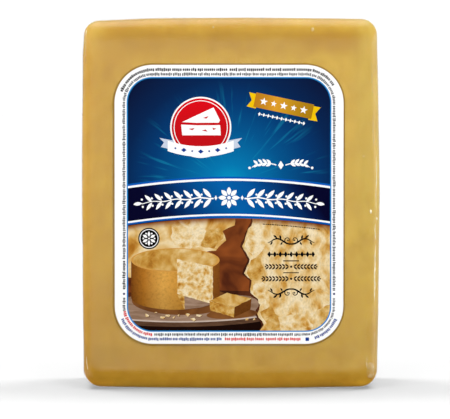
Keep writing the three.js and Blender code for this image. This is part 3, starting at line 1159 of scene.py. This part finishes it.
    cx = 33.0
    draw_scroll(cx, -19.4, 1)
    chain("text_black", cx, -26.4, 24.6, 2.9, 1.05, 1.6, 0.52)
    paint("text_brown", rounded(8.4, 0.6, 0.2, 2) + (cx, -29.9))
    leaf_row("text_brown", cx, -33.0, 26.0, 1.75, 1.5)
    paint("text_brown", rounded(8.4, 0.5, 0.2, 2) + (cx, -36.2))
    leaf_row("text_brown", cx, -39.4, 29.0, 1.75, 1.5)
    draw_scroll(cx, -46.4, -1)


# ------------------------------------------------------------------ inks
def ink(*c):
    """The colour that shows as c under the studio's light."""
    return tuple(max(0.0, v - 0.002) / 1.2 for v in srgb(*c)[:3]) + (1.0,)


class Print(Tree):
    """A printed area of the label; its vector is in mm from the label's middle."""

    def __init__(self, name):
        super().__init__("label_" + name)
        self.v = self.coords(offset=(-LABEL_X, 0, -LABEL_Z))
        sep = self.node("ShaderNodeSeparateXYZ")
        self.nt.links.new(self.v, sep.inputs[0])
        self.x, _, self.z = sep.outputs

    def done(self, colour, rough=0.46, spec=0.04):
        grain = self.noise(self.v, 0.05, 2.0, 0.5)
        normal = self.bump(grain, 0.25, 0.0010)
        b = self.principled(**{"Base Color": colour, "Normal": normal})
        b.inputs["Roughness"].default_value = rough
        b.inputs["Specular IOR Level"].default_value = spec
        return self.out(b.outputs[0])

    def distance(self, x, z):
        dx, dz = self.math("SUBTRACT", self.x, x), self.math("SUBTRACT", self.z, z)
        d = self.math("SQRT", self.math("ADD", self.math("MULTIPLY", dx, dx), self.math("MULTIPLY", dz, dz)))
        return d, self.math("ARCTAN2", dz, dx)

    def under_band(self, depth):
        """0 at the band's foot, 1 further down than depth."""
        x2 = self.math("MULTIPLY", self.x, self.x)
        foot = self.math("MULTIPLY_ADD", x2, -4.2 / 54.7**2, -6.8)
        return self.span(self.math("SUBTRACT", foot, self.z), 0.0, depth)


def flat_ink(name, colour, wander=0.05, **kw):
    m = Print(name)
    fac = m.ramp(m.noise(m.v, 0.25, 2.0, 0.5), [(0.3, 1 - wander), (0.7, 1 + wander)])
    return m.done(m.mix(1.0, colour, fac, "MULTIPLY"), **kw)


def cheese_print(name, stops, lump, grain, contrast=0.12, shade=None, stretch=1.0):
    m = Print(name)
    v = m.coords(scale=(1000.0, 1000.0, 1000.0 / stretch), offset=(-LABEL_X, 0, -LABEL_Z / stretch))
    big = m.noise(v, 1 / lump, 3.0, 0.55, 1.2)
    vor = m.node("ShaderNodeTexVoronoi", feature="F1", inputs={"Vector": v, "Scale": 1.6 / lump, "Randomness": 1.0})
    cell = m.math("MULTIPLY", vor.outputs["Distance"], 0.35)
    tone = m.math("ADD", m.math("MULTIPLY", big, 0.85), cell)
    colour = m.ramp(tone, stops)
    fine = m.ramp(m.noise(v, 1 / grain, 3.0, 0.65), [(0.25, 1 - 2.2 * contrast), (0.5, 1.0), (0.75, 1 + contrast)])
    colour = m.mix(1.0, colour, fine, "MULTIPLY")
    under = m.mix(m.under_band(4.5), ink(160, 96, 40), (1, 1, 1, 1))
    colour = m.mix(1.0, colour, under, "MULTIPLY")
    if shade:
        colour = shade(m, colour)
    return m.done(colour)


CREAM = [
    (0.34, ink(176, 112, 34)),
    (0.45, ink(208, 152, 66)),
    (0.55, ink(226, 184, 112)),
    (0.66, ink(240, 212, 158)),
    (0.80, ink(248, 228, 188)),
]
GOLD = [
    (0.34, ink(142, 84, 24)),
    (0.46, ink(188, 130, 48)),
    (0.58, ink(206, 156, 72)),
    (0.72, ink(224, 184, 112)),
    (0.86, ink(238, 208, 150)),
]


def label_materials():
    made = {}
    made["paper"] = flat_ink("paper", (0.905, 0.905, 0.90, 1), 0.008)
    made["white_print"] = flat_ink("white", (0.90, 0.90, 0.895, 1), 0.008)
    made["text_black"] = flat_ink("black", ink(14, 12, 14))
    made["text_dark"] = flat_ink("dark_grey", ink(30, 28, 36))
    made["text_grey"] = flat_ink("grey", ink(74, 74, 80))
    made["text_brown"] = flat_ink("brown_black", ink(48, 34, 22))
    made["print_red"] = flat_ink("red", ink(228, 24, 34))
    made["print_navy"] = flat_ink("navy", ink(22, 20, 96))
    made["print_blue_ink"] = flat_ink("blue_ink", ink(26, 62, 148))
    made["keyline"] = flat_ink("keyline", ink(28, 138, 214))
    made["band_line"] = flat_ink("band_line", ink(10, 92, 186))
    made["ribbon_yellow"] = flat_ink("yellow", ink(248, 200, 12))
    made["ribbon_grey"] = flat_ink("ribbon_tail", ink(206, 216, 234))
    made["ribbon_fold"] = flat_ink("ribbon_fold", ink(96, 116, 160))
    made["dark_base"] = flat_ink("dark_base", ink(27, 11, 6), 0.2)

    # The blue field: a glow behind the band's middle, with faint rays.
    m = Print("field_blue")
    d, a = m.distance(0.5, 10.5)
    far = m.math("DIVIDE", d, 80.0)
    colour = m.ramp(
        far,
        [
            (0.0, ink(8, 152, 200)),
            (4 / 80, ink(5, 147, 195)),
            (11 / 80, ink(2, 122, 179)),
            (29 / 80, ink(2, 86, 143)),
            (43 / 80, ink(1, 60, 116)),
            (57 / 80, ink(9, 38, 82)),
            (72 / 80, ink(12, 24, 58)),
        ],
    )
    comb = m.node("ShaderNodeCombineXYZ", inputs={0: m.math("MULTIPLY", a, 9.0), 1: m.math("MULTIPLY", d, 0.02)})
    ray = m.noise(comb.outputs[0], 1.6, 2.0, 0.6)
    ray = m.span(ray, 0.56, 0.70)
    where = m.math("MULTIPLY", m.span(d, 10, 22), m.span(d, 36, 58, 1.0, 0.0))
    ray = m.math("MULTIPLY", m.math("MULTIPLY", ray, where), 0.28)
    colour = m.mix(ray, colour, ink(30, 170, 205))
    made["field_blue"] = m.done(colour)

    m = Print("band")
    across = m.math("MULTIPLY_ADD", m.x, 1 / 110, 0.5)
    across = m.math("MULTIPLY_ADD", m.z, 0.006, across)
    made["band"] = m.done(
        m.ramp(
            across,
            [
                (0.04, ink(3, 4, 41)),
                (0.12, ink(3, 7, 42)),
                (0.19, ink(4, 22, 68)),
                (0.26, ink(4, 46, 98)),
                (0.33, ink(4, 62, 126)),
                (0.41, ink(4, 82, 148)),
                (0.53, ink(4, 98, 172)),
                (0.66, ink(4, 86, 159)),
                (0.73, ink(4, 68, 134)),
                (0.80, ink(4, 52, 108)),
                (0.86, ink(4, 28, 78)),
                (0.93, ink(4, 4, 42)),
            ],
        )
    )

    m = Print("medal_red")
    made["medal_red"] = m.done(m.ramp(m.span(m.z, 24, 57), [(0.0, ink(196, 20, 26)), (0.6, ink(206, 18, 26)), (1.0, ink(226, 14, 26))]))

    m = Print("ribbon_gold")
    run = m.math("MULTIPLY_ADD", m.z, -0.21, m.x)
    made["ribbon_gold"] = m.done(
        m.ramp(
            m.span(run, 2, 34),
            [(0.0, ink(196, 130, 30)), (0.3, ink(228, 160, 44)), (0.6, ink(206, 150, 34)), (1.0, ink(176, 128, 20))],
        )
    )

    made["cheese_far"] = cheese_print("cheese_far", CREAM, 15.0, 2.2, 0.05)
    made["cheese_near"] = cheese_print("cheese_near", CREAM, 7.5, 1.0, 0.10, stretch=1.5)
    made["facet_light"] = cheese_print("facet_light", [(p - 0.06, c) for p, c in CREAM], 6.0, 0.9, 0.09)
    made["facet_gold"] = cheese_print("facet_gold", GOLD, 6.0, 0.9, 0.10)
    made["crumb"] = cheese_print("crumb", [(p - 0.04, c) for p, c in CREAM], 4.0, 0.8, 0.10)
    made["crumb_shade"] = cheese_print("crumb_shade", GOLD, 4.5, 0.8, 0.10)
    made["wheel_top"] = cheese_print("wheel_top", [(p - 0.02, c) for p, c in GOLD], 9.0, 1.2, 0.04)

    # rind: lit as a drum
    m = Print("rind")
    across = m.span(m.x, -52, -5)
    colour = m.ramp(
        m.math("MULTIPLY_ADD", m.x, 1 / 47, 52 / 47),
        [
            (0.0, ink(120, 66, 20)),
            (0.14, ink(176, 112, 36)),
            (0.36, ink(226, 168, 78)),
            (0.60, ink(204, 142, 52)),
            (0.86, ink(150, 92, 30)),
            (1.0, ink(124, 70, 24)),
        ],
    )
    spots = m.ramp(m.noise(m.v, 0.8, 3.0, 0.7), [(0.35, 0.82), (0.5, 1.0), (0.7, 1.08)])
    down = m.ramp(m.span(m.z, -58, -30), [(0.0, 0.72), (0.6, 1.0), (1.0, 1.04)])
    colour = m.mix(1.0, m.mix(1.0, colour, spots, "MULTIPLY"), down, "MULTIPLY")
    made["rind"] = m.done(colour)
    made["rind_rim"] = flat_ink("rind_rim", ink(214, 156, 74), 0.08)

    for name, hi, lo in (("board_top", (176, 146, 124), (132, 100, 76)), ("board_edge", (104, 74, 54), (66, 42, 30))):
        m = Print(name)
        v = m.coords(scale=(1000.0, 1000.0, 6500.0), offset=(-LABEL_X, 0, -LABEL_Z * 6.5))
        grain = m.noise(v, 0.09, 4.0, 0.6, 0.6)
        made[name] = m.done(m.ramp(grain, [(0.3, ink(*lo)), (0.7, ink(*hi))]))
    made["board_rim"] = flat_ink("board_rim", ink(206, 186, 172), 0.08)

    for name, c0, c1 in (
        ("shade_deep", (50, 24, 16), (92, 46, 26)),
        ("shade_soft", (92, 52, 26), (140, 88, 44)),
        ("shade_back", (84, 38, 20), (150, 78, 34)),
    ):
        m = Print(name)
        made[name] = m.done(m.ramp(m.noise(m.v, 0.09, 2.0, 0.5, 0.5), [(0.3, ink(*c0)), (0.7, ink(*c1))]))

    # painted shadow: a dark brown line round the label where the film steps down from its edge; the sheet's side and
    # back take it too
    m = Print("edge")
    made["edge"] = m.done(m.ramp(m.noise(m.v, 0.1, 2.0, 0.5), [(0.3, srgb(140, 109, 47)), (0.7, srgb(150, 118, 55))]))
    return made


# ------------------------------------------------------------------ the label as a sheet
LABEL_OFF, LABEL_BACK, LABEL_FLANGE = 0.30, 0.04, 0.95


def front_y(x, z, off):
    """A place that far in front of the film, in mm, at label points in the row frame."""
    p = np.stack([x, np.full(len(x), -HALF_Y), z - MID_Z], 1)
    q = swell(p)
    q[:, 1] += MID_Y
    q[:, 2] += MID_Z
    return q[:, 1] + FILM_IN - film_lift(q) - off


def inside(px, pz, loop):
    """Even-odd test of many points against one loop."""
    x0, z0 = loop[:, 0], loop[:, 1]
    x1, z1 = np.roll(x0, -1), np.roll(z0, -1)
    hit = np.zeros(len(px), bool)
    for a, b, c, d in zip(x0, z0, x1, z1):
        if b == d:
            continue
        hit ^= ((b > pz) != (d > pz)) & (px < (c - a) * (pz - b) / (d - b) + a)
    return hit


def build_label():
    draw_label()
    made = label_materials()
    names = list(made)
    outline = rounded(LABEL_W, LABEL_H, LABEL_R)
    # no doubled points
    keep = np.linalg.norm(outline - np.roll(outline, 1, 0), axis=1) > 1e-6
    outline = outline[keep]
    pts, edges = [], []
    for _, loops in [("edge", [outline])] + ART[1:]:
        for loop in loops:
            n0 = len(pts)
            pts += [tuple(q) for q in loop]
            edges += [(n0 + i, n0 + (i + 1) % len(loop)) for i in range(len(loop))]
    gx, gz = np.meshgrid(np.arange(-60, 60.1, 3.0), np.arange(-73.5, 73.6, 3.0))
    inner = rounded(LABEL_W - 2, LABEL_H - 2, LABEL_R - 1)
    gx, gz = gx.ravel() + 0.013, gz.ravel() + 0.007
    ok = inside(gx, gz, inner)
    pts += list(zip(gx[ok].tolist(), gz[ok].tolist()))
    # what lies outside the sheet is not wanted in it
    verts, _, tris, *_ = delaunay_2d_cdt([Vector(q) for q in pts], edges, [], 0, 1e-4)
    v = np.array([(q[0], q[1]) for q in verts])
    tri = np.array([t for t in tris if len(t) == 3])
    c = v[tri].mean(1)
    tri = tri[inside(c[:, 0], c[:, 1], outline)]
    c = v[tri].mean(1)
    index = np.full(len(tri), names.index("paper"))
    in_field = inside(c[:, 0], c[:, 1], FIELD)
    field_at = next(i for i, (m, _) in enumerate(ART) if m == "field_blue")
    for i, (m, loops) in enumerate(ART):
        hit = np.zeros(len(tri), bool)
        for loop in loops:
            lo, hi = loop.min(0), loop.max(0)
            near = np.nonzero(
                (c[:, 0] >= lo[0]) & (c[:, 0] <= hi[0]) & (c[:, 1] >= lo[1]) & (c[:, 1] <= hi[1])
            )[0]
            if len(near):
                hit[near] ^= inside(c[near, 0], c[near, 1], loop)
        if i >= field_at:
            hit &= in_field
        index[hit] = names.index(m)

    # The sheet's front, a thin sloping edge, and its back.
    used = np.unique(tri)
    remap = -np.ones(len(v), int)
    remap[used] = np.arange(len(used))
    v, tri = v[used], remap[tri]
    directed = {}
    for t in tri.tolist():
        for a, b in ((t[0], t[1]), (t[1], t[2]), (t[2], t[0])):
            directed[(a, b)] = True
    rim_edges = {a: b for a, b in directed if (b, a) not in directed}
    rim = [next(iter(rim_edges))]
    while rim_edges[rim[-1]] != rim[0]:
        rim.append(rim_edges[rim[-1]])
    rim = np.array(rim)
    r = v[rim]
    d = np.roll(r, -1, 0) - np.roll(r, 1, 0)
    d /= np.linalg.norm(d, axis=1)[:, None]
    out = np.stack([d[:, 1], -d[:, 0]], 1)  # the rim runs anticlockwise, so this points outwards
    # the painted shadow line is wider to the left and below, as if cast by light from above right
    wide = r + out * (LABEL_FLANGE * (1.0 - 0.13 * (out[:, :1] + out[:, 1:])))
    n, k = len(v), len(rim)
    x, z = v[:, 0] + LABEL_X, v[:, 1] + LABEL_Z
    front = np.stack([x, front_y(x, z, LABEL_OFF), z], 1)
    x, z = wide[:, 0] + LABEL_X, wide[:, 1] + LABEL_Z
    edge = np.stack([x, front_y(x, z, LABEL_BACK), z], 1)
    bverts, _, btris, *_ = delaunay_2d_cdt(
        [Vector(q) for q in wide.tolist()] + [Vector((a, b)) for a, b in zip(gx[ok][::4], gz[ok][::4])],
        [(i, (i + 1) % k) for i in range(k)], [], 1, 1e-4,
    )
    bv = np.array([(q[0], q[1]) for q in bverts])
    assert len(bv) >= k and np.allclose(bv[:k], wide, atol=1e-3)
    x, z = bv[k:, 0] + LABEL_X, bv[k:, 1] + LABEL_Z
    back = np.stack([x, front_y(x, z, LABEL_BACK), z], 1)
    p = np.concatenate([front, edge, back])
    # Triangles are anticlockwise in x and z, so seen from the front (towards +y) they face the camera.
    faces = tri.tolist()
    mats = index.tolist()
    edge_at = names.index("edge")
    for i in range(k):
        j = (i + 1) % k
        faces.append([int(rim[i]), n + i, n + j, int(rim[j])])
        mats.append(edge_at)
    for t in btris:
        faces.append([n + q for q in reversed(t)])
        mats.append(edge_at)
    ob = mesh_object("label_sheet", p, faces, [made[m] for m in names], mats)
    me = ob.data
    sharp = me.attributes.new("sharp_edge", "BOOLEAN", "EDGE")
    flags = np.zeros(len(me.edges), bool)
    ev = np.zeros(2 * len(me.edges), np.int32)
    me.edges.foreach_get("vertices", ev)
    ev = ev.reshape(-1, 2)
    on_rim = np.zeros(len(p), bool)
    on_rim[rim] = True
    on_edge = np.zeros(len(p), bool)
    on_edge[n : n + k] = True
    flags = (on_rim[ev].all(1)) | (on_edge[ev].all(1))
    sharp.data.foreach_set("value", flags)
    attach(ob, "root")
    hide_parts("label")
    return ob


label = build_label()

# ------------------------------------------------------------------ floor, light, camera
KEY, TOP = 13.2, 4.5
SHINE_LEFT, SHINE_FRONT, SHINE_RIGHT, SHINE_BEHIND, SHINE_PATCH = 0.20, 1.15, 1.5, 0.6, 0.8
SHINE_CEILING, SHINE_HIGH, SHINE_UP, SHINE_DOWN, SHINE_GROUND = 2.2, 0.45, 0.60, 0.03, 0.9
SOFT_LOW, SOFT_LEVEL, SOFT_SIDE, SOFT_TURN, SOFT_HIGH = 0.52, 0.56, 2.85, 0.5, 0.12
# The suns that light the floor alone: tilt, bearing (0 is to the right, 90 to the back) and share of the light.
FLOOR_LIGHT, FLOOR_SPREAD = 7.0, 28.0
FLOOR_SUNS = (
    (28, 30, 0.23),
    (28, 150, 0.23),
    (22, 75, 0.09),
    (22, 105, 0.09),
    (12, 90, 0.07),
    (25, 270, 0.09),
    (45, 300, 0.10),
    (45, 240, 0.10),
)

floor_me = bpy.data.meshes.new("floor")
S = 8.0
floor_me.from_pydata([(-S, -S, 0), (S, -S, 0), (S, S, 0), (-S, S, 0)], [], [(0, 1, 2, 3)])
floor = bpy.data.objects.new("floor", floor_me)
bpy.context.scene.collection.objects.link(floor)
t = Tree("studio_floor")
floor_me.materials.append(
    t.out(
        t.principled(
            **{"Base Color": (0.42, 0.42, 0.42, 1), "Roughness": 1.0, "Specular IOR Level": 0.0}
        ).outputs[0]
    )
)
floor.visible_diffuse = False
floor.visible_glossy = False
floor.visible_transmission = False

# The sky has three parts: white for the eye, a soft light for matt surfaces, and what shiny surfaces reflect:
# a bright level band, a dark zone above and below it, and a bright ceiling.
t = Tree("studio_sky", world=True)
tc = t.node("ShaderNodeTexCoord")
sep = t.node("ShaderNodeSeparateXYZ")
t.nt.links.new(tc.outputs["Generated"], sep.inputs[0])
sx, sy, sz = sep.outputs


elevation = t.math("MULTIPLY", t.math("ARCSINE", sz), 57.29578)
# 0 is the side the camera looks from, 90 the right
bearing = t.math("MULTIPLY", t.math("ARCTAN2", sx, t.math("MULTIPLY", sy, -1.0)), 57.29578)
around = t.math("ADD", t.span(bearing, -60, -15, SHINE_LEFT, SHINE_FRONT), t.span(bearing, 40, 60, 0.0, SHINE_RIGHT - SHINE_FRONT))
around = t.math("ADD", around, t.span(bearing, 95, 140, 0.0, SHINE_BEHIND - SHINE_RIGHT))
patch = t.math("MULTIPLY", t.span(bearing, 54, 62), t.span(bearing, 74, 86, 1, 0))
around = t.math("MULTIPLY_ADD", patch, SHINE_PATCH, around)
level = t.math("MULTIPLY", t.span(elevation, -16, -8), t.span(elevation, 5, 26, 1, 0))
level = t.math("MULTIPLY", level, around)
seen = t.math("ADD", level, t.span(elevation, 50, 78, 0, SHINE_CEILING))
seen = t.math("ADD", seen, t.span(elevation, -8, 20, SHINE_DOWN, SHINE_UP))
high = t.math("MULTIPLY", t.span(elevation, 8, 20), t.span(elevation, 36, 56, 1, 0))
high = t.math("MULTIPLY", high, t.span(t.math("ABSOLUTE", bearing), 100, 140, 0, SHINE_HIGH))
seen = t.math("ADD", seen, high)
# the pale ground to the sides, which the pack mirrors when it is looked at from above
ground = t.math("MULTIPLY", t.span(elevation, -42, -30), t.span(elevation, -17, -10, 1, 0))
ground = t.math("MULTIPLY", ground, t.span(t.math("ABSOLUTE", bearing), 28, 45, 0, SHINE_GROUND))
seen = t.math("ADD", seen, ground)
side = t.math("MULTIPLY", t.math("MULTIPLY", sx, sx), t.math("MULTIPLY_ADD", sx, -SOFT_TURN, SOFT_SIDE))
side = t.math("ADD", side, SOFT_LEVEL - SOFT_HIGH)
middle = t.math("MULTIPLY", t.span(sz, -0.40, -0.10), t.span(sz, 0.15, 0.50, 1, 0))
soft = t.math("MULTIPLY_ADD", side, middle, SOFT_HIGH)
soft = t.math("ADD", soft, t.span(sz, -0.40, -0.10, SOFT_LOW - SOFT_HIGH, 0))
shiny = t.node("ShaderNodeBackground", inputs={"Color": (1, 1, 1, 1), "Strength": seen})
matt = t.node("ShaderNodeBackground", inputs={"Color": (1, 1, 1, 1), "Strength": soft})
white = t.node("ShaderNodeBackground", inputs={"Color": (1, 1, 1, 1), "Strength": 1.05})
path = t.node("ShaderNodeLightPath")
first = t.node(
    "ShaderNodeMixShader",
    inputs={0: path.outputs["Is Glossy Ray"], 1: matt.outputs[0], 2: shiny.outputs[0]},
)
mixed = t.node(
    "ShaderNodeMixShader",
    inputs={0: path.outputs["Is Camera Ray"], 1: first.outputs[0], 2: white.outputs[0]},
)
bpy.context.scene.world = t.out(mixed.outputs[0])


def area(name, at, aim, size, watts, colour=(1, 1, 1)):
    data = bpy.data.lights.new(name, "AREA")
    data.shape = "RECTANGLE"
    data.size, data.size_y = size
    data.energy = watts
    data.color = colour
    ob = bpy.data.objects.new(name, data)
    ob.location = at
    ob.rotation_euler = (Vector(aim) - Vector(at)).to_track_quat("-Z", "Y").to_euler()
    bpy.context.scene.collection.objects.link(ob)
    return ob


block_lit = bpy.data.collections.new("lit_block")
floor_lit = bpy.data.collections.new("lit_floor")
for o in (cheese, film, label):
    block_lit.objects.link(o)
    o.visible_diffuse = False  # the floor's shadow stays neutral
floor_lit.objects.link(floor)

for name, at, size, watts in (
    ("key", (0.30, -1.1, 1.00), (1.1, 0.8), KEY),
    ("top", (0.0, -0.10, 1.30), (1.2, 0.8), TOP),
):
    ob = area(name, at, (0, 0, 0.10), size, watts)
    ob.light_linking.receiver_collection = block_lit
    ob.visible_glossy = False
for i, (tilt, bearing, share) in enumerate(FLOOR_SUNS):
    tilt, bearing = math.radians(tilt), math.radians(bearing)
    way = Vector((math.sin(tilt) * math.cos(bearing), math.sin(tilt) * math.sin(bearing), math.cos(tilt)))
    data = bpy.data.lights.new(f"floor_light_{i}", "SUN")
    data.energy = FLOOR_LIGHT * share / math.cos(tilt)
    data.angle = math.radians(FLOOR_SPREAD)
    ob = bpy.data.objects.new(f"floor_light_{i}", data)
    ob.rotation_euler = way.to_track_quat("Z", "Y").to_euler()
    bpy.context.scene.collection.objects.link(ob)
    ob.light_linking.receiver_collection = floor_lit

bpy.context.scene.view_settings.view_transform = "Standard"
bpy.context.scene.view_settings.look = "None"

PX_PER_MM = 1.8625
DISTANCE, ELEVATION = 2.0, math.radians(2.5)
cam_data = bpy.data.cameras.new("camera")
cam_data.sensor_width = 36.0
cam_data.sensor_fit = "HORIZONTAL"
# The front of the block, 35 mm nearer than its middle, is what the picture's scale is set by.
cam_data.lens = 36.0 * 3694 / 450
cam_data.clip_start, cam_data.clip_end = 0.05, 40
cam = bpy.data.objects.new("camera", cam_data)
# The picture's middle is at (225, 209.5); the block's middle is at (230.8, 203.05).
target = Vector(((225 - 230.8) / PX_PER_MM, 0, MID_Z - 1.35 - (209.5 - 203.05) / PX_PER_MM)) * MM
cam.location = target + Vector(
    (0, -math.cos(ELEVATION) * DISTANCE, math.sin(ELEVATION) * DISTANCE)
)
cam.rotation_euler = (target - cam.location).to_track_quat("-Z", "Y").to_euler()
bpy.context.scene.collection.objects.link(cam)
bpy.context.scene.camera = cam
